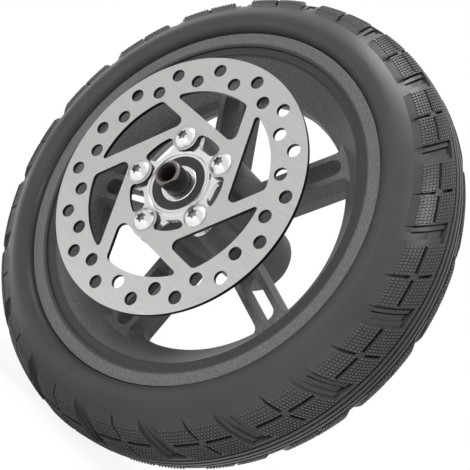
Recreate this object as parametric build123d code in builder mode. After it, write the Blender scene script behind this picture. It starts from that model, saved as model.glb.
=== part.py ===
from build123d import *
import math
import os

# Rear wheel of a small kick scooter: cast rim with five twin spokes, airless
# tyre, brake rotor, and a hub on two sealed bearings that turns about its axle.
# The axle lies on Y, the brake side faces -Y, and +Z is up. The origin is on
# the axle, midway between the two lips of the rim. All sizes are in mm.

# --- Driving dimensions -------------------------------------------------------

# Rim
rim_width = 44.8
lip_radius = 83.7
lip_inner_radius = 77.0
lip_thickness = 2.6
step_depth = 1.0
step_inner_radius = 73.6
bead_seat_radius = 78.0
bead_seat_width = 5.3
well_radius = 65.2
well_width = 13.0
barrel_radius = 60.7
barrel_flat_width = 10.0
barrel_draft = 0.8
wall_bite = 1.5
bowl_sag = 0.6

# Twin spokes
spoke_count = 5
spoke_start = 270
spoke_front = 9.2
spoke_rear = 7.3
spoke_half_width = 6.75
spoke_front_draft = 2.0
spoke_rear_draft = 5.0
spoke_root_fillet = 3.2
slot_half_width = 3.85
slot_inner_radius = 30.0
slot_outer_radius = 62.0

# Hub
hub_front = 38.7
hub_core_radius = 17.0
hub_rear_radius = 16.1
hub_shoulder_radius = 12.0
boss_radius = 7.0
boss_blend = 4.0
register_gap = 0.1
register_height = 0.9
edge_break = 0.6

# Deep groove ball bearing, 12 x 28 x 8, sealed on both sides
bearing_bore = 12.0
bearing_outside = 28.0
bearing_width = 8.0
bearing_recess = 0.4
seat_chamfer = 0.3
ball_diameter = 4.762
ball_count = 8
inner_land_radius = 8.4
outer_land_radius = 11.7
seal_radius = 12.6
seal_thickness = 0.7
seal_recess = 0.2
seal_lip_gap = 0.1
race_play = 0.05
ring_chamfer = 0.3
cage_width = 2.0
cage_half_height = 2.85
cage_play = 0.08

# Axle and the tube that spaces the bearings
axle_end_length = 9.8
axle_chamfer = 0.6
axle_flat_width = 10.0
axle_flat_length = 4.0
axle_flat_turn = 33.0
axle_thread_radius = 3.4
axle_thread_depth = 20.0
axle_thread_mouth = 4.5
spacer_outside = 16.0
spacer_bore_gap = 0.1

# Brake rotor
rotor_radius = 60.0
rotor_thickness = 1.8
rotor_turn = 26.5
rotor_arm_count = 6
rotor_arm_offset = 21.5
rotor_arm_width = 5.7
rotor_track_radius = 43.5
rotor_inner_radius = 22.8
rotor_tab_radius = 6.0
rotor_tab_blend = 2.0
window_root_fillet = 3.0
window_tip_fillet = 1.2
vent_count = 16
vent_radius = 3.0
vent_outer_pitch = 53.7
vent_inner_pitch = 48.6
vent_start = 1.7

# Rotor bolts, M5 button head with a six-lobed T25 socket
bolt_circle_radius = 21.0
bolt_radius = 2.5
bolt_hole_gap = 0.15
bolt_length = 12.0
bolt_head_radius = 5.0
bolt_head_height = 3.2
bolt_rim_height = 0.8
bolt_socket_width = 4.5
bolt_socket_root_width = 3.27
bolt_socket_flute_radius = 0.9
bolt_socket_depth = 1.9
bolt_bore_spare = 2.0

# Tyre
tyre_radius = 110.0
tread_arc_radius = 29.8
carcass_radius = 107.0
carcass_arc_radius = 30.5
carcass_arc_end = 60.0
sidewall_arc_radius = 5.5
sidewall_arc_end = 165.0
tyre_rim_gap = 0.3
tread_half_width = 21.0
tread_count = 18
tread_start = 6.6
tread_slant = 32.4
tread_sink = 1.0
recess_start = 7.0
recess_inner_width = 2.4
recess_outer_width = 4.0
recess_draft = 28.0
cross_position = 13.9
slit_width = 1.0
slit_end_gap = 1.4
crown_groove_spacing = 3.1
crown_groove_width = 0.8
crown_groove_depth = 1.1

# --- Sizes that follow ----------------------------------------------------------

half_rim = rim_width / 2
seat_edge = half_rim - lip_thickness
bearing_radius = bearing_outside / 2
axle_radius = bearing_bore / 2
pitch_radius = (axle_radius + bearing_radius) / 2
ball_radius = ball_diameter / 2
hub_rear = hub_front + register_height
plain_bearing_face = hub_rear - bearing_recess
brake_bearing_face = -plain_bearing_face
brake_seat = brake_bearing_face + bearing_width
plain_seat = plain_bearing_face - bearing_width
register_radius = bolt_circle_radius - rotor_tab_radius - register_gap

section_plane = Plane.XY
wheel_plane = Plane.XZ
rotor_seat = wheel_plane.offset(hub_front)

os.makedirs("parts", exist_ok=True)


def export(piece, name):
    """Label a finished piece and write it as one STEP file."""
    piece.part.label = name
    export_step(piece.part, f"parts/{name}.step")


# --- Tyre: solid rubber, smooth sidewalls, two rows of slit blocks ---------------

carcass_centre = carcass_radius - carcass_arc_radius
tread_centre = tyre_radius - tread_arc_radius
end_angle = math.radians(carcass_arc_end)
side_centre_y = (carcass_arc_radius - sidewall_arc_radius) * math.sin(end_angle)
side_centre_r = carcass_centre + (carcass_arc_radius - sidewall_arc_radius) * math.cos(end_angle)
tyre_foot = seat_edge - tyre_rim_gap
tread_edge_radius = tread_centre + math.sqrt(tread_arc_radius**2 - tread_half_width**2)
sunk_arc_radius = carcass_arc_radius - tread_sink
sunk_edge_radius = carcass_centre + math.sqrt(sunk_arc_radius**2 - tread_half_width**2)

# The cutters stand on a plane under one block, with the axle across the slits
block_plane = Plane(origin=(carcass_centre, 0, 0), x_dir=(0, 0, 1), z_dir=(1, 0, 0))
block_length = math.radians(360 / tread_count) * tyre_radius
slant = math.tan(math.radians(tread_slant))
recess_end = tread_half_width + sidewall_arc_radius
recess_middle = (recess_start + tread_half_width) / 2
widening = (recess_outer_width - recess_inner_width) / (tread_half_width - recess_start)


def slanted(across, place):
    """Point beside the slanted line of a recess or slit, at a place along the axle."""
    return (across - slant * (place - recess_middle), place)


# The recess floor lies on a chord of the carcass, from its inner end to the shoulder
floor_inner = carcass_centre + math.sqrt(carcass_arc_radius**2 - recess_start**2)
floor_outer = carcass_centre + math.sqrt(carcass_arc_radius**2 - tread_half_width**2)
floor_slope = math.atan((floor_inner - floor_outer) / (tread_half_width - recess_start))
floor_plane = Plane(
    origin=(floor_inner, -recess_start, 0),
    x_dir=(0, 0, 1),
    z_dir=(math.cos(floor_slope), -math.sin(floor_slope), 0),
)
floor_length = (recess_end - recess_start) / math.cos(floor_slope)

with BuildPart() as recess_cutter:
    # Widens towards the shoulder and, with its draft, towards the road
    mouth = recess_inner_width / 2 + widening * (recess_end - recess_start) / 2
    throat = recess_inner_width / 2
    inner_shift = slanted(0, recess_start)[0]
    outer_shift = slanted(0, recess_end)[0]
    with BuildSketch(floor_plane):
        Polygon(
            (inner_shift - throat, 0),
            (inner_shift + throat, 0),
            (outer_shift + mouth, floor_length),
            (outer_shift - mouth, floor_length),
            align=None,
        )
    extrude(amount=2 * (tyre_radius - carcass_radius), taper=-recess_draft)

with BuildPart() as slit_cutter:
    # Four slits in a cross that stop short of its middle
    with BuildSketch(block_plane):
        for near, far in (
            (cross_position + slit_end_gap, recess_end),
            (cross_position - slit_end_gap, recess_start),
        ):
            Polygon(
                slanted(-slit_width / 2, near),
                slanted(slit_width / 2, near),
                slanted(slit_width / 2, far),
                slanted(-slit_width / 2, far),
                align=None,
            )
        arm = block_length / 2 - recess_outer_width - slit_end_gap
        arm_centre = slit_end_gap + arm / 2
        cross_shift = slanted(0, cross_position)[0]
        with Locations(
            (cross_shift - arm_centre, cross_position), (cross_shift + arm_centre, cross_position)
        ):
            Rectangle(arm, slit_width)
    extrude(amount=tyre_radius - carcass_centre)

tread_cutters = []
for index in range(tread_count):
    recess_angle = tread_start + index * 360 / tread_count
    slit_angle = recess_angle + 180 / tread_count
    for cutter, angle in ((recess_cutter, recess_angle), (slit_cutter, slit_angle)):
        placed = cutter.part.rotate(Axis.Y, -angle)
        tread_cutters += [placed, placed.mirror(Plane.XZ)]

with BuildPart() as tyre:
    # Tread layer with four grooves round its crown
    with BuildSketch(section_plane):
        with BuildLine():
            crown = ThreePointArc(
                (tread_edge_radius, -tread_half_width),
                (tyre_radius, 0),
                (tread_edge_radius, tread_half_width),
            )
            sunk = ThreePointArc(
                (sunk_edge_radius, -tread_half_width),
                (carcass_radius - tread_sink, 0),
                (sunk_edge_radius, tread_half_width),
            )
            Line(crown @ 0, sunk @ 0)
            Line(crown @ 1, sunk @ 1)
        make_face()
        groove_places = [(tyre_radius, crown_groove_spacing * n) for n in (-1.5, -0.5, 0.5, 1.5)]
        with Locations(groove_places):
            Rectangle(2 * crown_groove_depth, crown_groove_width, mode=Mode.SUBTRACT)
    revolve(axis=Axis.Y)
    add(tread_cutters, mode=Mode.SUBTRACT)

    # Carcass: crown, sidewalls and the foot that sits between the rim lips
    with BuildSketch(section_plane):
        with BuildLine():
            CenterArc((carcass_centre, 0), carcass_arc_radius, -carcass_arc_end, 2 * carcass_arc_end)
            turned = sidewall_arc_end - carcass_arc_end
            rear_side = CenterArc(
                (side_centre_r, side_centre_y), sidewall_arc_radius, carcass_arc_end, turned
            )
            front_side = CenterArc(
                (side_centre_r, -side_centre_y), sidewall_arc_radius, -carcass_arc_end, -turned
            )
            Polyline(
                rear_side @ 1,
                (lip_radius + tyre_rim_gap, tyre_foot),
                (bead_seat_radius, tyre_foot),
                (bead_seat_radius, -tyre_foot),
                (lip_radius + tyre_rim_gap, -tyre_foot),
                front_side @ 1,
            )
        make_face()
    revolve(axis=Axis.Y)

export(tyre, "tyre")

# --- Wheel casting: rim, five twin spokes, hub with bolt bosses -------------------

wall_middle = (barrel_radius + well_radius) / 2
barrel_edge = barrel_flat_width / 2
bowl_foot_radius = barrel_radius + barrel_draft
bowl_top = half_rim - step_depth
bowl_slope = (step_inner_radius - bowl_foot_radius) / (bowl_top - barrel_edge)
root_half_width = spoke_half_width + spoke_root_fillet


def wall_radius(height):
    """Inner radius of the rim wall at a distance from the middle plane."""
    if height <= barrel_edge:
        return barrel_radius
    return bowl_foot_radius + (height - barrel_edge) * bowl_slope


spoke_profiles = []
for height, draft in (
    (spoke_front, spoke_front_draft),
    (0, 0),
    (-spoke_rear, spoke_rear_draft),
):
    # One spoke along +X, flared where it meets the rim, widest at the parting plane
    half_width = spoke_half_width - abs(height) * math.tan(math.radians(draft))
    flare_radius = root_half_width - half_width
    root_radius = math.sqrt(wall_radius(abs(height)) ** 2 - root_half_width**2)
    with BuildSketch(Plane.XY.offset(height)) as spoke_profile:
        with BuildLine():
            Line((0, 0), (0, half_width))
            edge = Line((0, half_width), (root_radius - flare_radius, half_width))
            flare = RadiusArc(edge @ 1, (root_radius, root_half_width), -flare_radius)
            Polyline(flare @ 1, (lip_inner_radius, root_half_width), (lip_inner_radius, 0))
            mirror(about=Plane.XZ)
        make_face()
    spoke_profiles.append(spoke_profile.sketch)

with BuildPart() as one_spoke:
    loft(spoke_profiles, ruled=True)

with BuildSketch(wheel_plane) as boss_plan:
    Circle(hub_core_radius)
    with PolarLocations(bolt_circle_radius, spoke_count, start_angle=spoke_start):
        Circle(boss_radius)
    fillet(boss_plan.vertices(), radius=boss_blend)

with BuildPart(wheel_plane) as wheel_casting:
    # Spokes round the hub core, cut to the shape of the rim wall
    with PolarLocations(0, spoke_count, start_angle=spoke_start):
        add(one_spoke.part)
    Cylinder(hub_core_radius, 2 * spoke_front)
    with BuildSketch(section_plane):
        with BuildLine():
            Polyline(
                (0, -spoke_front),
                (wall_radius(spoke_front) + wall_bite, -spoke_front),
                (wall_middle, -barrel_edge),
                (wall_middle, barrel_edge),
                (wall_radius(spoke_rear) + wall_bite, spoke_rear),
                (0, spoke_rear),
                close=True,
            )
        make_face()
    revolve(axis=Axis.Y, mode=Mode.INTERSECT)

    # Rim: barrel, bowl, stepped lip, bead seat and well, the same on both sides
    with BuildSketch(section_plane):
        with BuildLine():
            barrel = Line((barrel_radius, 0), (bowl_foot_radius, barrel_edge))
            bowl_middle = (
                (step_inner_radius + bowl_foot_radius) / 2 + bowl_sag,
                (bowl_top + barrel_edge) / 2,
            )
            bowl = ThreePointArc(barrel @ 1, bowl_middle, (step_inner_radius, bowl_top))
            Polyline(
                bowl @ 1,
                (lip_inner_radius, bowl_top),
                (lip_inner_radius, half_rim),
                (lip_radius, half_rim),
                (lip_radius, seat_edge),
                (bead_seat_radius, seat_edge),
                (bead_seat_radius, seat_edge - bead_seat_width),
                (well_radius, well_width / 2),
                (well_radius, 0),
            )
            mirror(about=Plane.XZ)
        make_face()
    revolve(axis=Axis.Y)

    # Slot through the middle of each twin spoke
    with BuildSketch(wheel_plane.offset(spoke_front)):
        slot_middle = (slot_inner_radius + slot_outer_radius) / 2
        with PolarLocations(slot_middle, spoke_count, start_angle=spoke_start):
            SlotOverall(slot_outer_radius - slot_inner_radius, 2 * slot_half_width)
    extrude(amount=-(spoke_front + spoke_rear), mode=Mode.SUBTRACT)

    # Brake side of the hub: a core with five bolt bosses, and the rotor register
    extrude(boss_plan.sketch, amount=hub_front)
    with BuildSketch(rotor_seat):
        Circle(register_radius)
    extrude(amount=register_height)

    # Plain side of the hub
    with BuildSketch(section_plane):
        with BuildLine():
            Polyline(
                (0, 0),
                (hub_core_radius, 0),
                (hub_core_radius, spoke_rear),
                (hub_rear_radius, hub_rear - edge_break),
                (hub_rear_radius - edge_break, hub_rear),
                (0, hub_rear),
                close=True,
            )
        make_face()
    revolve(axis=Axis.Y)

    # Stepped bore: a bearing seat and a shoulder at each end
    with BuildSketch(section_plane):
        with BuildLine():
            Polyline(
                (0, -hub_rear),
                (bearing_radius + seat_chamfer, -hub_rear),
                (bearing_radius, seat_chamfer - hub_rear),
                (bearing_radius, brake_seat),
                (hub_shoulder_radius, brake_seat),
                (hub_shoulder_radius, plain_seat),
                (bearing_radius, plain_seat),
                (bearing_radius, hub_rear - seat_chamfer),
                (bearing_radius + seat_chamfer, hub_rear),
                (0, hub_rear),
                close=True,
            )
        make_face()
    revolve(axis=Axis.Y, mode=Mode.SUBTRACT)

    # Tapped holes for the rotor bolts
    with BuildSketch(rotor_seat):
        with PolarLocations(bolt_circle_radius, spoke_count, start_angle=spoke_start):
            Circle(bolt_radius)
    extrude(amount=-(bolt_length - rotor_thickness + bolt_bore_spare), mode=Mode.SUBTRACT)

export(wheel_casting, "wheel_casting")

# --- Brake rotor ------------------------------------------------------------------

window_edge = rotor_arm_offset + rotor_arm_width
arm_turn = math.radians(360 / rotor_arm_count)
window_corner = (window_edge * math.cos(arm_turn) - rotor_arm_offset) / math.sin(arm_turn)
window_reach = 2 * rotor_track_radius

with BuildSketch() as rotor_window:
    # Between two arms and the braking track, with the first arm square to +X
    Polygon(
        (window_edge, window_corner),
        (
            window_edge + window_reach * math.sin(arm_turn),
            window_corner + window_reach * math.cos(arm_turn),
        ),
        (window_edge, window_reach),
        align=None,
    )
    Circle(rotor_track_radius, mode=Mode.INTERSECT)
    fillet(rotor_window.vertices().sort_by(Axis.X)[-1], radius=window_root_fillet)
    fillet(rotor_window.vertices().sort_by(Axis.Y)[0], radius=window_root_fillet)
    fillet(rotor_window.vertices().sort_by(Axis.Y)[-1], radius=window_tip_fillet)

with BuildPart() as brake_rotor:
    with BuildSketch(rotor_seat) as rotor_plan:
        # Inner edge with a rounded tab round each bolt
        Circle(rotor_radius)
        Circle(rotor_inner_radius, mode=Mode.SUBTRACT)
        with PolarLocations(bolt_circle_radius, spoke_count, start_angle=spoke_start):
            Circle(rotor_tab_radius)
        tab_roots = rotor_plan.vertices().filter_by(
            lambda v: abs(v.center().length - rotor_inner_radius) < edge_break
        )
        fillet(tab_roots, radius=rotor_tab_blend)
        # Windows between the tangential arms, vent holes and bolt holes
        with PolarLocations(0, rotor_arm_count, start_angle=rotor_turn):
            add(rotor_window.sketch, mode=Mode.SUBTRACT)
        with PolarLocations(vent_outer_pitch, vent_count, start_angle=vent_start):
            Circle(vent_radius, mode=Mode.SUBTRACT)
        inner_start = vent_start + 180 / vent_count
        with PolarLocations(vent_inner_pitch, vent_count, start_angle=inner_start):
            Circle(vent_radius, mode=Mode.SUBTRACT)
        with PolarLocations(bolt_circle_radius, spoke_count, start_angle=spoke_start):
            Circle(bolt_radius + bolt_hole_gap, mode=Mode.SUBTRACT)
    extrude(amount=rotor_thickness)

export(brake_rotor, "brake_rotor")

# --- Rotor bolts: button heads with a six-lobed socket ------------------------------

dome_radius = (bolt_head_radius**2 + (bolt_head_height - bolt_rim_height) ** 2) / (
    2 * (bolt_head_height - bolt_rim_height)
)
dome_angle = math.degrees(math.asin(bolt_head_radius / dome_radius))

with BuildPart() as one_bolt:
    # Stands on its head seat, with the shank down
    with BuildSketch(Plane.XZ):
        with BuildLine():
            dome = CenterArc((0, bolt_head_height - dome_radius), dome_radius, 90 - dome_angle, dome_angle)
            Polyline(
                dome @ 1,
                (0, -bolt_length),
                (bolt_radius - edge_break, -bolt_length),
                (bolt_radius, edge_break - bolt_length),
                (bolt_radius, 0),
                (bolt_head_radius, 0),
                dome @ 0,
            )
        make_face()
    revolve(axis=Axis.Z)
    with BuildSketch(Plane.XY.offset(bolt_head_height)):
        Circle(bolt_socket_width / 2)
        with PolarLocations(bolt_socket_root_width / 2 + bolt_socket_flute_radius, 6):
            Circle(bolt_socket_flute_radius, mode=Mode.SUBTRACT)
    extrude(amount=-bolt_socket_depth, mode=Mode.SUBTRACT)

with BuildPart(rotor_seat.offset(rotor_thickness)) as rotor_bolts:
    with PolarLocations(bolt_circle_radius, spoke_count, start_angle=spoke_start):
        add(one_bolt.part)

export(rotor_bolts, "rotor_bolts")

# --- Axle: plain shaft with flats and a tapped hole at each end ----------------------

axle_front = brake_bearing_face - axle_end_length
axle_rear = plain_bearing_face + axle_end_length
mouth_depth = axle_thread_mouth - axle_thread_radius

with BuildPart() as axle:
    with BuildSketch(section_plane):
        with BuildLine():
            Polyline(
                (0, axle_front),
                (axle_radius - axle_chamfer, axle_front),
                (axle_radius, axle_front + axle_chamfer),
                (axle_radius, axle_rear - axle_chamfer),
                (axle_radius - axle_chamfer, axle_rear),
                (0, axle_rear),
                close=True,
            )
        make_face()
    revolve(axis=Axis.Y)
    for end, inward in ((axle_front, 1), (axle_rear, -1)):
        with BuildSketch(wheel_plane.offset(-end).rotated((0, 0, -axle_flat_turn))):
            with Locations((-axle_flat_width, 0), (axle_flat_width, 0)):
                Rectangle(axle_flat_width, 2 * axle_flat_width)
        extrude(amount=-inward * axle_flat_length, mode=Mode.SUBTRACT)
        with BuildSketch(section_plane):
            with BuildLine():
                Polyline(
                    (0, end),
                    (axle_thread_mouth, end),
                    (axle_thread_radius, end + inward * mouth_depth),
                    (axle_thread_radius, end + inward * axle_thread_depth),
                    (0, end + inward * (axle_thread_depth + mouth_depth)),
                    close=True,
                )
            make_face()
        revolve(axis=Axis.Y, mode=Mode.SUBTRACT)

export(axle, "axle")

# --- Spacer tube between the inner rings ----------------------------------------------

with BuildPart() as spacer_tube:
    with BuildSketch(wheel_plane.offset(-brake_seat)):
        Circle(spacer_outside / 2)
        Circle(axle_radius + spacer_bore_gap, mode=Mode.SUBTRACT)
    extrude(amount=brake_seat - plain_seat)

export(spacer_tube, "spacer_tube")

# --- Bearings: the same one at each end, sealed on both faces --------------------------

half_bearing = bearing_width / 2
groove_radius = ball_radius + race_play
seal_face = half_bearing - seal_recess
seal_back = seal_face - seal_thickness
pocket_radius = ball_radius + cage_play

for name, middle in (
    ("brake_bearing", brake_bearing_face + half_bearing),
    ("plain_bearing", plain_bearing_face - half_bearing),
):
    bearing_section = Plane(origin=(0, middle, 0), x_dir=(1, 0, 0), z_dir=(0, 0, 1))
    bearing_plane = wheel_plane.offset(-middle)

    with BuildPart() as inner_ring:
        with BuildSketch(bearing_section) as ring_section:
            with Locations((axle_radius, 0)):
                Rectangle(
                    inner_land_radius - axle_radius, bearing_width, align=(Align.MIN, Align.CENTER)
                )
            chamfer(ring_section.vertices(), ring_chamfer)
            with Locations((pitch_radius, 0)):
                Circle(groove_radius, mode=Mode.SUBTRACT)
        revolve(axis=Axis.Y)
    export(inner_ring, f"{name}_inner_ring")

    with BuildPart() as outer_ring:
        with BuildSketch(bearing_section) as ring_section:
            with Locations((bearing_radius, 0)):
                Rectangle(
                    bearing_radius - outer_land_radius,
                    bearing_width,
                    align=(Align.MAX, Align.CENTER),
                )
            chamfer(ring_section.vertices().group_by(Axis.X)[-1], ring_chamfer)
            with Locations((pitch_radius, 0)):
                Circle(groove_radius, mode=Mode.SUBTRACT)
            with Locations((seal_radius, seal_back), (seal_radius, -half_bearing)):
                Rectangle(
                    seal_radius - outer_land_radius,
                    half_bearing - seal_back,
                    align=(Align.MAX, Align.MIN),
                    mode=Mode.SUBTRACT,
                )
        revolve(axis=Axis.Y)
    export(outer_ring, f"{name}_outer_ring")

    with BuildPart(bearing_plane) as balls:
        with PolarLocations(pitch_radius, ball_count):
            Sphere(ball_radius)
    export(balls, f"{name}_balls")

    for side, facing in (("front", 1), ("rear", -1)):
        half_plane = Plane(origin=(0, middle, 0), x_dir=(1, 0, 0), z_dir=(0, -facing, 0))

        with BuildPart() as seal:
            with BuildSketch(half_plane.offset(seal_back)):
                Circle(seal_radius)
                Circle(inner_land_radius + seal_lip_gap, mode=Mode.SUBTRACT)
            extrude(amount=seal_thickness)
        export(seal, f"{name}_{side}_seal")

        # Half of the cage: a flat ring with a round pocket for each ball
        with BuildPart(half_plane) as cage_half:
            with BuildSketch(half_plane):
                Circle(pitch_radius + cage_width / 2)
                Circle(pitch_radius - cage_width / 2, mode=Mode.SUBTRACT)
            extrude(amount=cage_half_height)
            with PolarLocations(pitch_radius, ball_count):
                Sphere(pocket_radius, mode=Mode.SUBTRACT)
        export(cage_half, f"{name}_{side}_cage")
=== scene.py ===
import math

import bmesh
import bpy
from mathutils import Matrix, Vector


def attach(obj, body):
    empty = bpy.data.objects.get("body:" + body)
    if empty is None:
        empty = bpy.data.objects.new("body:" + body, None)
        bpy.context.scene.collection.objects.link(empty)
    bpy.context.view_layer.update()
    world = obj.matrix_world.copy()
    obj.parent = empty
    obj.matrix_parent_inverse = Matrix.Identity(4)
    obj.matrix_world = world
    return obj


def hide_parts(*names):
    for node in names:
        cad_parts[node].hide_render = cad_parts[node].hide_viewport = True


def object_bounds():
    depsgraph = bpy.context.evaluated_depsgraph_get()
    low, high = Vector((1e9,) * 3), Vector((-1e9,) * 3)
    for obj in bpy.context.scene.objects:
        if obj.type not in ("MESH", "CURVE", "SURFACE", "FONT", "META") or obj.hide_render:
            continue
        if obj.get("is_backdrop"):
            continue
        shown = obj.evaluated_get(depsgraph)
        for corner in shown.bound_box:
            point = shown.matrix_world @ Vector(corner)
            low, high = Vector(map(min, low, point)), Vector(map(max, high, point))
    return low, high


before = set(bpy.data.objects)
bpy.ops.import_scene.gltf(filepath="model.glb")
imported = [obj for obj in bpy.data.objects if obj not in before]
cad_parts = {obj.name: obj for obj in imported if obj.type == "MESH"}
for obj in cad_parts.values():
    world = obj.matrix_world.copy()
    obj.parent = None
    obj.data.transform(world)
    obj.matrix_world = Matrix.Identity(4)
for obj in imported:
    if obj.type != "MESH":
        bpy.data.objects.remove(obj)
cad_low, cad_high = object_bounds()

# --- Tyre ---------------------------------------------------------------------
# A solid rubber tyre, moulded in one piece and snapped between the rim's lips.
# The tread is a chevron of knurled blocks, each cut by a cross of thin slits,
# with stepped recesses between them and four grooves round the crown.

# Sizes are in millimetres. A place is a distance along the axle from the middle.
MM = 0.001
SAME_POINT = 0.0001
CREASE = math.radians(28)

# The pattern repeats in wedges, each cut through a block on one side of its middle
TREAD_PITCHES = 18
PITCH_ANGLE = 2 * math.pi / TREAD_PITCHES
FIRST_RECESS = math.radians(6.2)
WEDGE_OFFSET = 11.0
STEPS_PER_PITCH = 12

# Section of the tread band, the carcass and the foot
TYRE_RADIUS = 110.0
TREAD_ARC = 29.8
TREAD_CENTRE = TYRE_RADIUS - TREAD_ARC
TREAD_EDGE = 21.0
TREAD_STEPS = 40
SHOULDER_EDGE = 22.2
SHOULDER_RADIUS = 97.8
BAND_SUNK = 1.0
BAND_STEPS = 24
CARCASS_RADIUS = 107.6
CARCASS_ARC = 30.5
CARCASS_ARC_END = math.radians(60)
CARCASS_STEPS = 36
SIDE_ARC = 5.5
SIDE_ARC_END = math.radians(165)
SIDE_STEPS = 12
FOOT_EDGE = 19.5
FOOT_RADIUS = 78.0
LIP_CLEAR_RADIUS = 84.0
CROWN_GROOVES = (-4.55, -1.55, 1.55, 4.55)
CROWN_GROOVE_WIDTH = 1.3
CROWN_GROOVE_DEPTH = 1.5
CROWN_GROOVE_DRAFT = 0.1

# Recesses between the blocks: a ledge and a floor, each with a thin groove at its foot
SLANT = math.tan(math.radians(32.4))
RECESS_INNER = 7.0
RECESS_MIDDLE = (RECESS_INNER + TREAD_EDGE) / 2
LEDGE_HALF = 4.5
LEDGE_DEPTHS = (0.8, 1.4)
LEDGE_FOOT_DEPTHS = (2.0, 2.8)
FLOOR_HALF = 1.9
FLOOR_INNER = 7.5
FLOOR_DEPTHS = (1.6, 2.9)
FLOOR_FOOT_DEPTHS = (2.8, 3.7)
FOOT_WIDTH = 0.8
FOOT_BITE = 0.07
FOOT_END = 20.6

# Slits: a cross on each block, whose arms stop short of the middle
CROSS_PLACE = 14.2
SLIT_WIDTH = 1.3
SLIT_DEPTH = 3.4
SLIT_END_GAP = 1.5
SLIT_INNER = 6.9
SLIT_STOP = 1.0

# Cutters stand past the surface, and have a few steps to follow its arc
CUT_ABOVE = 1.0
CUT_BEYOND = 1.0
CUTTER_STEPS = 8

# How closely the wedge is cleaned, and its copies are joined
ON_CUT_FACE = 0.002
WELD = 0.004
COPY_WELD = 0.005
STRAIGHT = -0.999
GAP_SIDES = 8


def linear(code):
    """Linear colour of an sRGB hex value."""
    parts = [int(code[i : i + 2], 16) / 255 for i in (1, 3, 5)]
    return [c / 12.92 if c <= 0.04045 else ((c + 0.055) / 1.055) ** 2.4 for c in parts] + [1.0]


def add_node(tree, kind, inputs=None, **settings):
    """Adds a node, sets its properties, and sets or links its inputs."""
    node = tree.nodes.new(kind)
    for name, value in settings.items():
        setattr(node, name, value)
    for socket, value in (inputs or {}).items():
        if isinstance(value, bpy.types.NodeSocket):
            tree.links.new(value, node.inputs[socket])
        else:
            node.inputs[socket].default_value = value
    return node


def new_material(name, colour, roughness, metallic=0.0, specular=0.5):
    """A material with one Principled shader, and its node tree and shader."""
    material = bpy.data.materials.new(name)
    material.use_nodes = True
    tree = material.node_tree
    shader = tree.nodes["Principled BSDF"]
    shader.inputs["Base Color"].default_value = linear(colour)
    shader.inputs["Roughness"].default_value = roughness
    shader.inputs["Metallic"].default_value = metallic
    shader.inputs["Specular IOR Level"].default_value = specular
    return material, tree, shader


def wheel_place(tree):
    """Object coordinates, their three parts, and the distance from the axle's line."""
    place = add_node(tree, "ShaderNodeTexCoord").outputs["Object"]
    axes = add_node(tree, "ShaderNodeSeparateXYZ", {0: place}).outputs
    plan = add_node(tree, "ShaderNodeCombineXYZ", {0: axes[0], 1: axes[2]})
    radius = add_node(tree, "ShaderNodeVectorMath", {0: plan.outputs[0]}, operation="LENGTH")
    return place, axes, radius.outputs["Value"]


def per_mm(size):
    """Texture scale whose pattern repeats about every so many millimetres."""
    return 1 / (size * MM)


def mesh_object(name, vertices, faces):
    """An object from vertices in millimetres, with its faces turned outwards."""
    mesh = bpy.data.meshes.new(name)
    mesh.from_pydata([tuple(v) for v in vertices], [], faces)
    shape = bmesh.new()
    shape.from_mesh(mesh)
    bmesh.ops.remove_doubles(shape, verts=shape.verts, dist=SAME_POINT)
    bmesh.ops.recalc_face_normals(shape, faces=shape.faces)
    shape.to_mesh(mesh)
    shape.free()
    piece = bpy.data.objects.new(name, mesh)
    bpy.context.collection.objects.link(piece)
    return piece


def turned_sector(name, profile, start, angle, steps):
    """A closed wedge of a turned shape; the profile is (radius, place) points."""
    count = len(profile)
    vertices = []
    for step in range(steps + 1):
        turn = start + angle * step / steps
        vertices += [(r * math.cos(turn), y, r * math.sin(turn)) for r, y in profile]
    faces = [list(range(count)), list(range(steps * count, (steps + 1) * count))]
    for step in range(steps):
        for i in range(count):
            j = (i + 1) % count
            a, b = step * count, (step + 1) * count
            faces.append([a + i, a + j, b + j, b + i])
    return mesh_object(name, vertices, faces)


def arc_points(centre_r, centre_y, radius, start, end, steps):
    """Points of a profile arc, its angle measured from the outward radius."""
    angles = [start + (end - start) * i / steps for i in range(steps + 1)]
    return [(centre_r + radius * math.cos(a), centre_y + radius * math.sin(a)) for a in angles]


def on_tread(along, place, height):
    """Point over the tread: so far along it, at a place across it, above its arc."""
    phi = math.asin(place / TREAD_ARC)
    radius = TREAD_CENTRE + (TREAD_ARC + height) * math.cos(phi)
    turn = FIRST_RECESS + along / TYRE_RADIUS
    across = (TREAD_ARC + height) * math.sin(phi)
    return (radius * math.cos(turn), across, radius * math.sin(turn))


def slanted(across, place):
    """Along-tread distance beside the slanted centre line of a recess or slit."""
    return across - SLANT * (abs(place) - RECESS_MIDDLE)


def band(start, half, inner, outer, side):
    """Four corners of a slanted strip across one side of the tread."""
    return [
        (start + slanted(-half, inner), side * inner),
        (start + slanted(half, inner), side * inner),
        (start + slanted(half, outer), side * outer),
        (start + slanted(-half, outer), side * outer),
    ]


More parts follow.
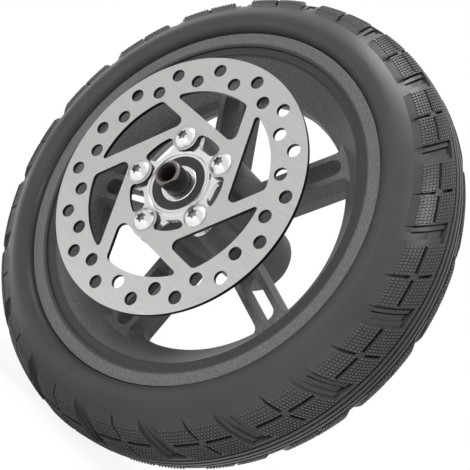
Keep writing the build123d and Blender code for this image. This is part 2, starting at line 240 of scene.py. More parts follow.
def tread_cutter(corners, inner_depth, outer_depth):
    """Closed cutter on a four-sided outline; its floor slopes from end to end."""
    (a, pa), (b, pb), (c, pc), (d, pd) = corners
    vertices = []
    for inner, outer in ((-inner_depth, -outer_depth), (CUT_ABOVE, CUT_ABOVE)):
        for i in range(CUTTER_STEPS + 1):
            t = i / CUTTER_STEPS
            height = inner + (outer - inner) * t
            vertices.append(on_tread(a + (d - a) * t, pa + (pd - pa) * t, height))
            vertices.append(on_tread(b + (c - b) * t, pb + (pc - pb) * t, height))
    half = 2 * (CUTTER_STEPS + 1)
    faces = [[0, 1, half + 1, half], [half - 2, half - 1, 2 * half - 1, 2 * half - 2]]
    for i in range(0, 2 * CUTTER_STEPS, 2):
        faces.append([i, i + 1, i + 3, i + 2])
        faces.append([half + i, half + i + 1, half + i + 3, half + i + 2])
        faces.append([i, i + 2, half + i + 2, half + i])
        faces.append([i + 1, i + 3, half + i + 3, half + i + 1])
    return vertices, faces


def joined(parts):
    """One list of vertices and faces from several."""
    vertices, faces = [], []
    for more_vertices, more_faces in parts:
        base = len(vertices)
        vertices += more_vertices
        faces += [[base + i for i in face] for face in more_faces]
    return vertices, faces


def combine(piece, other, operation):
    """Applies a boolean with another object and deletes that object."""
    modifier = piece.modifiers.new("cut", "BOOLEAN")
    modifier.operation = operation
    modifier.object = other
    modifier.solver = "EXACT"
    graph = bpy.context.evaluated_depsgraph_get()
    result = bpy.data.meshes.new_from_object(piece.evaluated_get(graph))
    piece.modifiers.clear()
    piece.data = result
    bpy.data.objects.remove(other)


def cut_away(piece, cutters):
    """Cuts several closed shapes, which don't touch each other, in one go."""
    combine(piece, mesh_object("cutter", *joined(cutters)), "DIFFERENCE")


pitch_length = PITCH_ANGLE * TYRE_RADIUS
sector_start = FIRST_RECESS + WEDGE_OFFSET / TYRE_RADIUS

# Tread band: the crown with its grooves, down to just under the carcass
edge_phi = math.asin(TREAD_EDGE / TREAD_ARC)
crown = [
    (r, y)
    for r, y in arc_points(TREAD_CENTRE, 0, TREAD_ARC, -edge_phi, edge_phi, TREAD_STEPS)
    if all(abs(y - groove) > CROWN_GROOVE_WIDTH for groove in CROWN_GROOVES)
]
for groove in CROWN_GROOVES:
    for side in (-1, 1):
        y = groove + side * CROWN_GROOVE_WIDTH / 2
        r = TREAD_CENTRE + math.sqrt(TREAD_ARC**2 - y**2)
        crown += [(r, y), (r - CROWN_GROOVE_DEPTH, y - side * CROWN_GROOVE_DRAFT)]
crown.sort(key=lambda point: point[1])
carcass_centre = CARCASS_RADIUS - CARCASS_ARC
sunk_arc = CARCASS_ARC - BAND_SUNK
sunk_phi = math.asin(TREAD_EDGE / sunk_arc)
band_profile = [
    (SHOULDER_RADIUS - BAND_SUNK, -SHOULDER_EDGE),
    (SHOULDER_RADIUS, -SHOULDER_EDGE),
    *crown,
    (SHOULDER_RADIUS, SHOULDER_EDGE),
    (SHOULDER_RADIUS - BAND_SUNK, SHOULDER_EDGE),
    *arc_points(carcass_centre, 0, sunk_arc, sunk_phi, -sunk_phi, BAND_STEPS),
]
sector = turned_sector("tyre", band_profile, sector_start, PITCH_ANGLE, STEPS_PER_PITCH)

ledges = []
floors = []
slits = []
feet = []
beyond = SHOULDER_EDGE + CUT_BEYOND
for side in (-1, 1):
    # Each recess steps down twice and opens at the shoulder
    ledge = band(pitch_length, LEDGE_HALF, RECESS_INNER, beyond, side)
    ledges.append(tread_cutter(ledge, *LEDGE_DEPTHS))
    floor = band(pitch_length, FLOOR_HALF, FLOOR_INNER, beyond, side)
    floors.append(tread_cutter(floor, *FLOOR_DEPTHS))
    # Grooves run along the foot of both steps and across their inner ends. They
    # bite a little into the walls, so that no two faces of a cut coincide.
    for half, inner, depths in (
        (LEDGE_HALF, RECESS_INNER, LEDGE_FOOT_DEPTHS),
        (FLOOR_HALF, FLOOR_INNER, FLOOR_FOOT_DEPTHS),
    ):
        middle = pitch_length + half + FOOT_BITE - FOOT_WIDTH / 2
        groove = band(middle, FOOT_WIDTH / 2, inner - FOOT_BITE, FOOT_END, side)
        feet.append(tread_cutter(groove, *depths))
        near, far = inner - 2 * FOOT_BITE, inner + FOOT_WIDTH
        groove = band(pitch_length, half - FOOT_BITE, near, far, side)
        feet.append(tread_cutter(groove, depths[0] + FOOT_BITE, depths[0] + FOOT_BITE))

slit_half = SLIT_WIDTH / 2
block_half = pitch_length / 2 - LEDGE_HALF
for start in (pitch_length / 2, 1.5 * pitch_length):
    for side in (-1, 1):
        # Four slits round the middle of each block, stopping short of its centre
        for near, far in (
            (CROSS_PLACE + SLIT_END_GAP, beyond),
            (SLIT_INNER, CROSS_PLACE - SLIT_END_GAP),
        ):
            slit = band(start, slit_half, near, far, side)
            slits.append(tread_cutter(slit, SLIT_DEPTH, SLIT_DEPTH))
        cross = start + slanted(0, CROSS_PLACE)
        for direction in (-1, 1):
            ends = [cross + direction * d for d in (SLIT_END_GAP, block_half - SLIT_STOP)]
            low, high = min(ends), max(ends)
            slit = [
                (low, side * (CROSS_PLACE - slit_half)),
                (high, side * (CROSS_PLACE - slit_half)),
                (high, side * (CROSS_PLACE + slit_half)),
                (low, side * (CROSS_PLACE + slit_half)),
            ]
            slits.append(tread_cutter(slit, SLIT_DEPTH, SLIT_DEPTH))
for cutters in (ledges, floors, slits):
    cut_away(sector, cutters)

# Carcass: crown, sidewalls and the foot between the rim's lips
side_r = carcass_centre + (CARCASS_ARC - SIDE_ARC) * math.cos(CARCASS_ARC_END)
side_y = (CARCASS_ARC - SIDE_ARC) * math.sin(CARCASS_ARC_END)
end = CARCASS_ARC_END
carcass_profile = [
    *arc_points(carcass_centre, 0, CARCASS_ARC, -end, end, CARCASS_STEPS),
    *arc_points(side_r, side_y, SIDE_ARC, end, SIDE_ARC_END, SIDE_STEPS)[1:],
    (LIP_CLEAR_RADIUS, FOOT_EDGE),
    (FOOT_RADIUS, FOOT_EDGE),
    (FOOT_RADIUS, -FOOT_EDGE),
    (LIP_CLEAR_RADIUS, -FOOT_EDGE),
    *arc_points(side_r, -side_y, SIDE_ARC, -SIDE_ARC_END, -end, SIDE_STEPS)[:-1],
]
carcass = turned_sector("carcass", carcass_profile, sector_start, PITCH_ANGLE, STEPS_PER_PITCH)
combine(sector, carcass, "UNION")
# The foot grooves reach down into the carcass. They cross, so each is cut alone.
for groove in feet:
    cut_away(sector, [groove])

# The wedge loses its two cut faces, so that its copies close into one skin
shape = bmesh.new()
shape.from_mesh(sector.data)
for turn in (sector_start, sector_start + PITCH_ANGLE):
    across = Vector((-math.sin(turn), 0, math.cos(turn)))
    cut_faces = [
        face
        for face in shape.faces
        if all(abs(vertex.co.dot(across)) < ON_CUT_FACE for vertex in face.verts)
    ]
    bmesh.ops.delete(shape, geom=cut_faces, context="FACES")
# Slivers left by the cuts are welded, so that both rims of the wedge agree
bmesh.ops.remove_doubles(shape, verts=shape.verts, dist=WELD)
bmesh.ops.dissolve_degenerate(shape, edges=shape.edges, dist=WELD)
# A vertex halfway along a straight rim edge has no partner on the next copy
spare = []
for vertex in shape.verts:
    if len(vertex.link_edges) == 2:
        ends = [edge.other_vert(vertex).co - vertex.co for edge in vertex.link_edges]
        if ends[0].normalized().dot(ends[1].normalized()) < STRAIGHT:
            spare.append(vertex)
bmesh.ops.dissolve_verts(shape, verts=spare)
wires = [edge for edge in shape.edges if edge.is_wire]
bmesh.ops.delete(shape, geom=wires, context="EDGES")
shape.to_mesh(sector.data)
shape.free()


def ring_of_copies(name, piece, material):
    """Repeats a wedge round the axle with Geometry Nodes and closes it into one mesh."""
    tree = bpy.data.node_groups.new(name, "GeometryNodeTree")
    interface = tree.interface
    interface.new_socket("Geometry", in_out="OUTPUT", socket_type="NodeSocketGeometry")
    interface.new_socket("Geometry", in_out="INPUT", socket_type="NodeSocketGeometry")
    count_socket = interface.new_socket("Count", in_out="INPUT", socket_type="NodeSocketInt")
    scale_socket = interface.new_socket("Scale", in_out="INPUT", socket_type="NodeSocketFloat")
    given = add_node(tree, "NodeGroupInput").outputs
    points = add_node(
        tree, "GeometryNodeMeshLine", {"Count": given["Count"], "Offset": (0, 0, 0)}
    )
    index = add_node(tree, "GeometryNodeInputIndex")
    step = add_node(
        tree, "ShaderNodeMath", {0: -2 * math.pi, 1: given["Count"]}, operation="DIVIDE"
    )
    turn = add_node(
        tree, "ShaderNodeMath", {0: index.outputs[0], 1: step.outputs[0]}, operation="MULTIPLY"
    )
    angles = add_node(tree, "ShaderNodeCombineXYZ", {"Y": turn.outputs[0]})
    copies = add_node(
        tree,
        "GeometryNodeInstanceOnPoints",
        {
            "Points": points.outputs[0],
            "Instance": given["Geometry"],
            "Rotation": angles.outputs[0],
            "Scale": given["Scale"],
        },
    )
    real = add_node(tree, "GeometryNodeRealizeInstances", {0: copies.outputs[0]})
    closed = add_node(
        tree,
        "GeometryNodeMergeByDistance",
        {"Geometry": real.outputs[0], "Distance": COPY_WELD * MM},
    )
    painted = add_node(
        tree, "GeometryNodeSetMaterial", {"Geometry": closed.outputs[0], "Material": material}
    )
    add_node(tree, "NodeGroupOutput", {0: painted.outputs[0]})
    modifier = piece.modifiers.new(name, "NODES")
    modifier.node_group = tree
    modifier[count_socket.identifier] = TREAD_PITCHES
    modifier[scale_socket.identifier] = MM
    graph = bpy.context.evaluated_depsgraph_get()
    mesh = bpy.data.meshes.new_from_object(piece.evaluated_get(graph))
    bpy.data.objects.remove(piece)
    # Where the edges of two copies divide differently, the thin gaps are filled
    shape = bmesh.new()
    shape.from_mesh(mesh)
    seams = [edge for edge in shape.edges if edge.is_boundary]
    bmesh.ops.holes_fill(shape, edges=seams, sides=GAP_SIDES)
    shape.to_mesh(mesh)
    shape.free()
    mesh.shade_smooth()
    mesh.set_sharp_from_angle(angle=CREASE)
    whole = bpy.data.objects.new(name, mesh)
    bpy.context.collection.objects.link(whole)
    return whole


# Knurl: slanted rows of low pips over each block, clear of its slits and edges
KNURL_INNER = 6.1
PIP_ROW = 1.3
PIP_STEP = 1.5
PIP_SIZE = 1.0
PIP_TOP = 0.7
PIP_HEIGHT = 0.45
PIP_SUNK = 0.15
PIP_MARGIN = 0.25
PIP_LIGHT_FROM = 0.1


def tapered_pip(along, row, side):
    """A pip centred so far along the tread, on a row at one side of the crown."""
    vertices = []
    for half, height in ((PIP_SIZE / 2, -PIP_SUNK), (PIP_TOP / 2, PIP_HEIGHT)):
        for a, b in ((-1, -1), (1, -1), (1, 1), (-1, 1)):
            place = row + b * half
            vertices.append(on_tread(along + slanted(a * half, place), side * place, height))
    faces = [[0, 1, 2, 3], [4, 5, 6, 7]]
    faces += [[i, (i + 1) % 4, (i + 1) % 4 + 4, i + 4] for i in range(4)]
    return vertices, faces


pips = []
pip_half = PIP_SIZE / 2
clear = slit_half + pip_half + PIP_MARGIN
count = int((block_half - pip_half - PIP_MARGIN) / PIP_STEP)
for side in (-1, 1):
    for first, last in (
        (KNURL_INNER, CROSS_PLACE - clear),
        (CROSS_PLACE + clear, TREAD_EDGE - pip_half),
    ):
        rows = round((last - first) / PIP_ROW)
        for i in range(rows + 1):
            row = first + (last - first) * i / rows
            for n in range(-count, count + 1):
                if abs(n * PIP_STEP) > clear:
                    pips.append(tapered_pip(pitch_length / 2 + n * PIP_STEP, row, side))

# Solid tyre rubber, moulded: near black and matt, its pips painted paler towards their tops as a
# painted highlight.
# The grain is coarser than the real one, which is too fine to show.
rubber, tree, shader = new_material("moulded_tyre_rubber", "#303031", 0.36, specular=0.26)
place, axes, radius = wheel_place(tree)
grain = add_node(
    tree, "ShaderNodeTexNoise", {"Vector": place, "Scale": per_mm(1.2), "Detail": 3.0}
)
bump = add_node(
    tree,
    "ShaderNodeBump",
    {"Height": grain.outputs[0], "Strength": 0.25, "Distance": 0.06 * MM},
)
tree.links.new(bump.outputs[0], shader.inputs["Normal"])
bloom = add_node(
    tree, "ShaderNodeTexNoise", {"Vector": place, "Scale": per_mm(22), "Detail": 2.0}
)
tone = add_node(
    tree,
    "ShaderNodeMix",
    {0: bloom.outputs[0], 6: linear("#2c2c2d"), 7: linear("#343435")},
    data_type="RGBA",
)
# Height over the tread's arc, from the distance to the ring of its centres
outward = add_node(
    tree, "ShaderNodeMath", {0: radius, 1: TREAD_CENTRE * MM}, operation="SUBTRACT"
)
section = add_node(tree, "ShaderNodeCombineXYZ", {0: outward.outputs[0], 1: axes[1]})
from_centre = add_node(
    tree, "ShaderNodeVectorMath", {0: section.outputs[0]}, operation="LENGTH"
)
pip_top_light = add_node(
    tree,
    "ShaderNodeMapRange",
    {
        0: from_centre.outputs["Value"],
        1: (TREAD_ARC + PIP_LIGHT_FROM) * MM,
        2: (TREAD_ARC + PIP_HEIGHT) * MM,
    },
)
# Painted highlight: the pips grow paler towards their tops, and the rubber between them stays
# darker
painted_pip_light = add_node(
    tree,
    "ShaderNodeMix",
    {0: pip_top_light.outputs[0], 6: tone.outputs[2], 7: linear("#444445")},
    data_type="RGBA",
)
tree.links.new(painted_pip_light.outputs[2], shader.inputs["Base Color"])

tyre = ring_of_copies("tyre_rubber", sector, rubber)
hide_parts("tyre")
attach(tyre, "wheel")

knurl = ring_of_copies("tread_knurl", mesh_object("pips", *joined(pips)), rubber)
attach(knurl, "wheel")

# --- Wheel casting --------------------------------------------------------------
# Rim, five twin spokes and hub in one die casting of aluminium, powder coated
# black. The hub's front face and register and its rear face are turned bright
# after coating.

HUB_FRONT = 38.7
HUB_REAR = 39.6
TURNED_FRONT = 2.5
TURNED_REAR = 0.5
STEP_OUTER = 79.0
STEP_INNER = 73.5
STEP_FADE = 1.0
STEP_SHADE = 0.8


def finish_with(piece, material):
    """Gives a piece one material in place of what it came with."""
    piece.data.materials.clear()
    piece.data.materials.append(material)


# Powder coat over die cast aluminium: satin, with a fine orange peel and specks
# that are drawn a little coarse, so that they show
coat, tree, shader = new_material(
    "powder_coated_cast_aluminium", "#4a4a4b", 0.5, specular=0.25
)
place, axes, radius = wheel_place(tree)
specks = add_node(
    tree, "ShaderNodeTexNoise", {"Vector": place, "Scale": per_mm(0.75), "Detail": 2.0}
)
ramp = add_node(tree, "ShaderNodeValToRGB", {0: specks.outputs[0]})
for stop, position, colour in zip(ramp.color_ramp.elements, (0.35, 0.7), ("#444445", "#5c5c5d")):
    stop.position = position
    stop.color = linear(colour)
# Painted shade: the coat is painted darker in the step behind each lip
into_step = add_node(
    tree,
    "ShaderNodeMapRange",
    {0: radius, 1: STEP_OUTER * MM, 2: (STEP_OUTER - STEP_FADE) * MM},
)
out_of_step = add_node(
    tree,
    "ShaderNodeMapRange",
    {0: radius, 1: (STEP_INNER - STEP_FADE) * MM, 2: STEP_INNER * MM},
)
in_step = add_node(
    tree,
    "ShaderNodeMath",
    {0: into_step.outputs[0], 1: out_of_step.outputs[0]},
    operation="MULTIPLY",
)
# Painted shade: how far the step's colour goes towards near black
painted_step_shade = add_node(
    tree, "ShaderNodeMath", {0: in_step.outputs[0], 1: STEP_SHADE}, operation="MULTIPLY"
)
tone = add_node(
    tree,
    "ShaderNodeMix",
    {0: painted_step_shade.outputs[0], 6: ramp.outputs[0], 7: linear("#1c1c1d")},
    data_type="RGBA",
)
tree.links.new(tone.outputs[2], shader.inputs["Base Color"])
bump = add_node(
    tree,
    "ShaderNodeBump",
    {"Height": specks.outputs[0], "Strength": 0.3, "Distance": 0.08 * MM},
)
tree.links.new(bump.outputs[0], shader.inputs["Normal"])
# Turned aluminium: bare, bright and smooth from a sharp tool
turned = add_node(
    tree,
    "ShaderNodeBsdfPrincipled",
    {"Base Color": linear("#e2e2e2"), "Metallic": 1.0, "Roughness": 0.22},
)
front = add_node(
    tree,
    "ShaderNodeMath",
    {0: axes[1], 1: -(HUB_FRONT - TURNED_FRONT) * MM},
    operation="LESS_THAN",
)
rear = add_node(
    tree,
    "ShaderNodeMath",
    {0: axes[1], 1: (HUB_REAR - TURNED_REAR) * MM},
    operation="GREATER_THAN",
)
machined = add_node(
    tree, "ShaderNodeMath", {0: front.outputs[0], 1: rear.outputs[0]}, operation="ADD"
)
mixed = add_node(
    tree,
    "ShaderNodeMixShader",
    {0: machined.outputs[0], 1: shader.outputs[0], 2: turned.outputs[0]},
)
tree.links.new(mixed.outputs[0], tree.nodes["Material Output"].inputs["Surface"])
finish_with(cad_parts["wheel_casting"], coat)

# --- Brake rotor -----------------------------------------------------------------
# A stainless disc, laser cut and ground flat on both faces. The ground faces are
# pale grey with fine straight lines; the cut edges are dark.

GRIND_TURN = math.radians(35)
GRIND_LENGTH = 9
GRIND_SPACING = 0.35
FLAT_FACE = 0.7

# Ground stainless: half bright, its grinding lines drawn coarse enough to show
ground, tree, shader = new_material("ground_stainless_sheet", "#c9c9c7", 0.36, metallic=1.0)
coordinates = add_node(tree, "ShaderNodeTexCoord").outputs
stretch = add_node(
    tree,
    "ShaderNodeMapping",
    {
        "Vector": coordinates["Object"],
        "Rotation": (0, GRIND_TURN, 0),
        "Scale": (per_mm(GRIND_LENGTH), per_mm(GRIND_LENGTH), per_mm(GRIND_SPACING)),
    },
)
lines = add_node(
    tree, "ShaderNodeTexNoise", {"Vector": stretch.outputs[0], "Scale": 1.0, "Detail": 2.0}
)
ground_face = add_node(
    tree,
    "ShaderNodeMix",
    {0: lines.outputs[0], 6: linear("#b2b2b0"), 7: linear("#cbcbc9")},
    data_type="RGBA",
)
# A surface that looks along the axle is a ground face, and any other a cut edge
normal = add_node(tree, "ShaderNodeSeparateXYZ", {0: coordinates["Normal"]})
along_axle = add_node(tree, "ShaderNodeMath", {0: normal.outputs[1]}, operation="ABSOLUTE")
is_face = add_node(
    tree, "ShaderNodeMath", {0: along_axle.outputs[0], 1: FLAT_FACE}, operation="GREATER_THAN"
)
tone = add_node(
    tree,
    "ShaderNodeMix",
    {0: is_face.outputs[0], 6: linear("#2b2b2b"), 7: ground_face.outputs[2]},
    data_type="RGBA",
)
tree.links.new(tone.outputs[2], shader.inputs["Base Color"])
finish_with(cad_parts["brake_rotor"], ground)

# --- Rotor bolts -------------------------------------------------------------------
# Five M5 button-head bolts with a six-lobed socket, bright zinc over steel. The
# sockets are rougher, and painted a darker grey as painted shade inside them.

BOLT_COUNT = 5
BOLT_STEP = 2 * math.pi / BOLT_COUNT
BOLT_TURN = math.radians(-18)
BOLT_CIRCLE = 21.0
SOCKET_RADIUS = 2.3
SOCKET_MOUTH = 43.1
ZINC_COLOUR = "#d4d4d4"
ZINC_ROUGHNESS = 0.3
SOCKET_SHADE_COLOUR = "#9c9c9c"
SOCKET_ROUGHNESS = 0.5

# Bright zinc: a pale plated metal that mirrors softly
zinc, tree, shader = new_material(
    "bright_zinc_plate", ZINC_COLOUR, ZINC_ROUGHNESS, metallic=1.0
)
_, axes, radius = wheel_place(tree)
# Distance from the nearest bolt's axis: the angle is folded onto one bolt
angle = add_node(tree, "ShaderNodeMath", {0: axes[2], 1: axes[0]}, operation="ARCTAN2")
shifted = add_node(
    tree,
    "ShaderNodeMath",
    {0: angle.outputs[0], 1: BOLT_STEP / 2 - BOLT_TURN},
    operation="ADD",
)
folded = add_node(
    tree, "ShaderNodeMath", {0: shifted.outputs[0], 1: BOLT_STEP}, operation="FLOORED_MODULO"
)
beside = add_node(
    tree, "ShaderNodeMath", {0: folded.outputs[0], 1: BOLT_STEP / 2}, operation="SUBTRACT"
)
cosine = add_node(tree, "ShaderNodeMath", {0: beside.outputs[0]}, operation="COSINE")
sine = add_node(tree, "ShaderNodeMath", {0: beside.outputs[0]}, operation="SINE")
turned_to = add_node(tree, "ShaderNodeCombineXYZ", {0: cosine.outputs[0], 1: sine.outputs[0]})
from_middle = add_node(
    tree, "ShaderNodeVectorMath", {0: turned_to.outputs[0], "Scale": radius}, operation="SCALE"
)
from_bolt = add_node(
    tree,
    "ShaderNodeVectorMath",
    {0: from_middle.outputs[0], 1: (BOLT_CIRCLE * MM, 0, 0)},
    operation="DISTANCE",
)
near_axis = add_node(
    tree,
    "ShaderNodeMath",
    {0: from_bolt.outputs["Value"], 1: SOCKET_RADIUS * MM},
    operation="LESS_THAN",
)
below_top = add_node(
    tree, "ShaderNodeMath", {0: axes[1], 1: -SOCKET_MOUTH * MM}, operation="GREATER_THAN"
)
in_socket = add_node(
    tree,
    "ShaderNodeMath",
    {0: near_axis.outputs[0], 1: below_top.outputs[0]},
    operation="MULTIPLY",
)
# Painted shade: each socket is coloured a darker grey than the zinc around it
tone = add_node(
    tree,
    "ShaderNodeMix",
    {0: in_socket.outputs[0], 6: linear(ZINC_COLOUR), 7: linear(SOCKET_SHADE_COLOUR)},
    data_type="RGBA",
)
tree.links.new(tone.outputs[2], shader.inputs["Base Color"])
dull = add_node(
    tree,
    "ShaderNodeMapRange",
    {0: in_socket.outputs[0], 3: ZINC_ROUGHNESS, 4: SOCKET_ROUGHNESS},
)
tree.links.new(dull.outputs[0], shader.inputs["Roughness"])
finish_with(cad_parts["rotor_bolts"], zinc)

# --- Axle --------------------------------------------------------------------------
# A 12 mm steel shaft, black oxide over a turned surface, with two flats and a
# tapped hole at each end. Its end rings are worn grey where they meet the fork.

AXLE_END = 49.0
AXLE_RADIUS = 6.0
AXLE_CHAMFER = 0.6
AXLE_STEPS = 96
FLAT_PLACE = 5.0
FLAT_LENGTH = 4.0
FLAT_TURN = math.radians(33)
HOLE_RADIUS = 3.4
HOLE_MOUTH = 4.5
HOLE_DEPTH = 20.0
THREAD_PITCH = 1.25
WORN_LENGTH = 0.5
OXIDE_COLOUR = "#2c2a29"
OXIDE_ROUGHNESS = 0.34
THREAD_ROUGHNESS = 0.6


def turned_piece(name, profile, steps):
    """A closed turned shape; its profile starts and ends on the axle's line."""
    count = len(profile)
    vertices = []
    for step in range(steps):
        turn = 2 * math.pi * step / steps
        vertices += [(r * math.cos(turn), y, r * math.sin(turn)) for r, y in profile]
    faces = []
    for step in range(steps):
        a, b = step * count, (step + 1) % steps * count
        faces += [[a + i, a + i + 1, b + i + 1, b + i] for i in range(count - 1)]
    return mesh_object(name, vertices, faces)


def box(low, high):
    """Vertices and faces of a box between two corners."""
    vertices = [
        (x, y, z)
        for x in (low[0], high[0])
        for y in (low[1], high[1])
        for z in (low[2], high[2])
    ]
    faces = [
        [0, 1, 3, 2],
        [4, 5, 7, 6],
        [0, 1, 5, 4],
        [2, 3, 7, 6],
        [0, 2, 6, 4],
        [1, 3, 7, 5],
    ]
    return vertices, faces


# From the bottom of the hole, a 45 degree cone, out to the shaft's side
mouth_depth = HOLE_MOUTH - HOLE_RADIUS
end_profile = [
    (0, AXLE_END - HOLE_DEPTH - mouth_depth),
    (HOLE_RADIUS, AXLE_END - HOLE_DEPTH),
    (HOLE_RADIUS, AXLE_END - mouth_depth),
    (HOLE_MOUTH, AXLE_END),
    (AXLE_RADIUS - AXLE_CHAMFER, AXLE_END),
    (AXLE_RADIUS, AXLE_END - AXLE_CHAMFER),
]
shaft_profile = [(r, -y) for r, y in end_profile] + [(r, y) for r, y in reversed(end_profile)]
shaft = turned_piece("axle_shaft", shaft_profile, AXLE_STEPS)
flats = []
for side in (-1, 1):
    for end in (-1, 1):
        near, far = sorted((side * FLAT_PLACE, side * 2 * AXLE_RADIUS))
        low, high = sorted((end * (AXLE_END - FLAT_LENGTH), end * (AXLE_END + CUT_BEYOND)))
        flats.append(box((near, low, -2 * AXLE_RADIUS), (far, high, 2 * AXLE_RADIUS)))
cutter = mesh_object("flat_cutter", *joined(flats))
cutter.data.transform(Matrix.Rotation(FLAT_TURN, 4, "Y"))
combine(shaft, cutter, "DIFFERENCE")
shaft.data.transform(Matrix.Scale(MM, 4))
shaft.data.shade_smooth()
shaft.data.set_sharp_from_angle(angle=CREASE)

# Black oxide on steel: nearly black, glossy where it was turned
oxide, tree, shader = new_material(
    "black_oxide_steel", OXIDE_COLOUR, OXIDE_ROUGHNESS, metallic=0.55
)
place, axes, radius = wheel_place(tree)
from_middle = add_node(tree, "ShaderNodeMath", {0: axes[1]}, operation="ABSOLUTE")
worn = add_node(
    tree,
    "ShaderNodeMath",
    {0: from_middle.outputs[0], 1: (AXLE_END - WORN_LENGTH) * MM},
    operation="GREATER_THAN",
)
tone = add_node(
    tree,
    "ShaderNodeMix",
    {0: worn.outputs[0], 6: linear(OXIDE_COLOUR), 7: linear("#625e5c")},
    data_type="RGBA",
)
# The thread in each hole is rough and finely ridged, and painted darker as painted shade inside
# the hole
in_hole = add_node(
    tree, "ShaderNodeMath", {0: radius, 1: HOLE_MOUTH * MM}, operation="LESS_THAN"
)
# Painted shade: the inside of each hole is coloured near-black brown
dark = add_node(
    tree,
    "ShaderNodeMix",
    {0: in_hole.outputs[0], 6: tone.outputs[2], 7: linear("#1d1513")},
    data_type="RGBA",
)
tree.links.new(dark.outputs[2], shader.inputs["Base Color"])
rough = add_node(
    tree,
    "ShaderNodeMapRange",
    {0: in_hole.outputs[0], 3: OXIDE_ROUGHNESS, 4: THREAD_ROUGHNESS},
)
tree.links.new(rough.outputs[0], shader.inputs["Roughness"])
# The bands of a wave texture repeat every pi / 10 at a scale of one
ridges = add_node(
    tree,
    "ShaderNodeTexWave",
    {"Vector": place, "Scale": math.pi / (10 * THREAD_PITCH * MM)},
    wave_type="BANDS",
    bands_direction="Y",
    wave_profile="TRI",
)
thread = add_node(
    tree,
    "ShaderNodeMath",
    {0: ridges.outputs["Fac"], 1: in_hole.outputs[0]},
    operation="MULTIPLY",
)
bump = add_node(
    tree,
    "ShaderNodeBump",
    {"Height": thread.outputs[0], "Strength": 0.8, "Distance": 0.5 * MM},
)
tree.links.new(bump.outputs[0], shader.inputs["Normal"])
finish_with(shaft, oxide)
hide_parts("axle")
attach(shaft, "axle_group")

# --- Spacer tube ---------------------------------------------------------------------
# Plain drawn aluminium tube that keeps the inner rings apart. It is out of sight
# inside the hub.

# Drawn aluminium: pale and half dull
drawn = new_material("drawn_aluminium_tube", "#c4c5c7", 0.38, metallic=1.0)[0]
finish_with(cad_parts["spacer_tube"], drawn)

# --- Bearings ------------------------------------------------------------------------
# Two deep groove ball bearings with black rubber seals. The rings are ground, the
# balls are polished, and the cages are pressed from steel sheet.

# Ground bearing steel: bright, with a soft mirror
race = new_material("ground_bearing_steel", "#dcdcdd", 0.2, metallic=1.0)[0]
# Polished bearing steel: a clear mirror
ball = new_material("polished_bearing_balls", "#e6e6e7", 0.06, metallic=1.0)[0]
# Pressed sheet steel: grey and half dull
cage = new_material("pressed_cage_steel", "#b4b4b6", 0.4, metallic=1.0)[0]
# Moulded nitrile rubber: charcoal and matt
nitrile = new_material("nitrile_seal_rubber", "#262627", 0.55, specular=0.25)[0]
for bearing in ("brake_bearing", "plain_bearing"):
    for part, finish in (
        ("outer_ring", race),
        ("inner_ring", race),
        ("balls", ball),
        ("front_cage", cage),
        ("rear_cage", cage),
        ("front_seal", nitrile),
        ("rear_seal", nitrile),
    ):
        finish_with(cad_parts[f"{bearing}_{part}"], finish)

# --- Floor, light and camera -----------------------------------------------------------
# A pale floor, four large soft lamps and a plain white room. The camera stands
# low on the brake side and is rolled, so that the axle points up and left.

FLOOR_SIZE = 8
SHADOW_NEAR = 0.15
SHADOW_FAR = 0.5
SHADOW_WHITE = 0.88
ROOM_LIGHT = 0.1
CAMERA_PLACE = Vector((0.3760, -0.4670, -0.0230))
CAMERA_RIGHT = Vector((0.6158, 0.4510, 0.6460))
CAMERA_DOWN = Vector((0.4910, 0.4216, -0.7624))
CAMERA_AHEAD = Vector((-0.6162, 0.7867, 0.0382))
CAMERA_LENS = 104.1
CAMERA_SENSOR = 36

bpy.ops.mesh.primitive_plane_add(size=FLOOR_SIZE, location=(0, 0, cad_low[2]))
floor = bpy.context.active_object
floor.name = "floor"
pale, tree, shader = new_material("pale_floor", "#f2f2f2", 0.9)
# The camera sees the floor as white, with a little of the wheel's shadow left on it
rays = add_node(tree, "ShaderNodeLightPath").outputs
place = add_node(tree, "ShaderNodeTexCoord").outputs["Object"]
distance = add_node(tree, "ShaderNodeVectorMath", {0: place}, operation="LENGTH")
fading = add_node(
    tree,
    "ShaderNodeMapRange",
    {0: distance.outputs["Value"], 1: SHADOW_NEAR, 2: SHADOW_FAR, 3: SHADOW_WHITE, 4: 1.0},
)
seen = add_node(
    tree,
    "ShaderNodeMath",
    {0: rays["Is Camera Ray"], 1: fading.outputs[0]},
    operation="MULTIPLY",
)
glow = add_node(tree, "ShaderNodeEmission", {"Color": linear("#ffffff"), "Strength": 1.0})
mixed = add_node(
    tree, "ShaderNodeMixShader", {0: seen.outputs[0], 1: shader.outputs[0], 2: glow.outputs[0]}
)
tree.links.new(mixed.outputs[0], tree.nodes["Material Output"].inputs["Surface"])
finish_with(floor, pale)
floor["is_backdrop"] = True

# The camera, glass and mirrors see a white room, and surfaces get a dim light from it
world = bpy.data.worlds.new("studio")
bpy.context.scene.world = world
world.use_nodes = True
tree = world.node_tree
tree.nodes.clear()
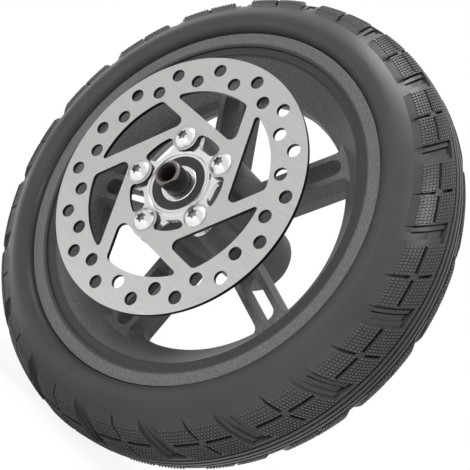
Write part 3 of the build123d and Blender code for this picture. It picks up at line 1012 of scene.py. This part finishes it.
rays = add_node(tree, "ShaderNodeLightPath").outputs
shows = add_node(
    tree,
    "ShaderNodeMath",
    {0: rays["Is Camera Ray"], 1: rays["Is Transmission Ray"]},
    operation="MAXIMUM",
)
mirrored = add_node(
    tree,
    "ShaderNodeMath",
    {0: shows.outputs[0], 1: rays["Is Glossy Ray"]},
    operation="MAXIMUM",
)
ambient = add_node(
    tree, "ShaderNodeBackground", {"Color": linear("#ffffff"), "Strength": ROOM_LIGHT}
)
white = add_node(tree, "ShaderNodeBackground", {"Color": linear("#ffffff"), "Strength": 1.0})
mixed = add_node(
    tree,
    "ShaderNodeMixShader",
    {0: mirrored.outputs[0], 1: ambient.outputs[0], 2: white.outputs[0]},
)
add_node(tree, "ShaderNodeOutputWorld", {0: mixed.outputs[0]})


def soft_lamp(name, position, size, power, mirrored=True):
    """A square lamp that faces the wheel's middle."""
    data = bpy.data.lights.new(name, "AREA")
    data.size = size
    data.energy = power
    lamp = bpy.data.objects.new(name, data)
    lamp.location = position
    lamp.rotation_euler = (-Vector(position)).to_track_quat("-Z", "Y").to_euler()
    lamp.visible_glossy = mirrored
    bpy.context.collection.objects.link(lamp)


# The front and back lamps aren't mirrored, so that metal keeps its tone from there
soft_lamp("key", (0.25, -1.3, 0.35), size=0.6, power=23, mirrored=False)
soft_lamp("side", (0.77, -0.21, 1.03), size=0.35, power=7)
soft_lamp("top", (-0.3, -0.1, 1.3), size=0.7, power=12)
soft_lamp("back", (-0.5, 1.2, 0.4), size=0.9, power=14, mirrored=False)

camera_data = bpy.data.cameras.new("camera")
camera_data.lens = CAMERA_LENS
camera_data.sensor_width = CAMERA_SENSOR
camera = bpy.data.objects.new("camera", camera_data)
turn = Matrix((CAMERA_RIGHT, -CAMERA_DOWN, -CAMERA_AHEAD)).transposed()
camera.matrix_world = Matrix.Translation(CAMERA_PLACE) @ turn.to_4x4()
bpy.context.collection.objects.link(camera)
bpy.context.scene.camera = camera

bpy.context.scene.view_settings.view_transform = "Standard"

low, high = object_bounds()
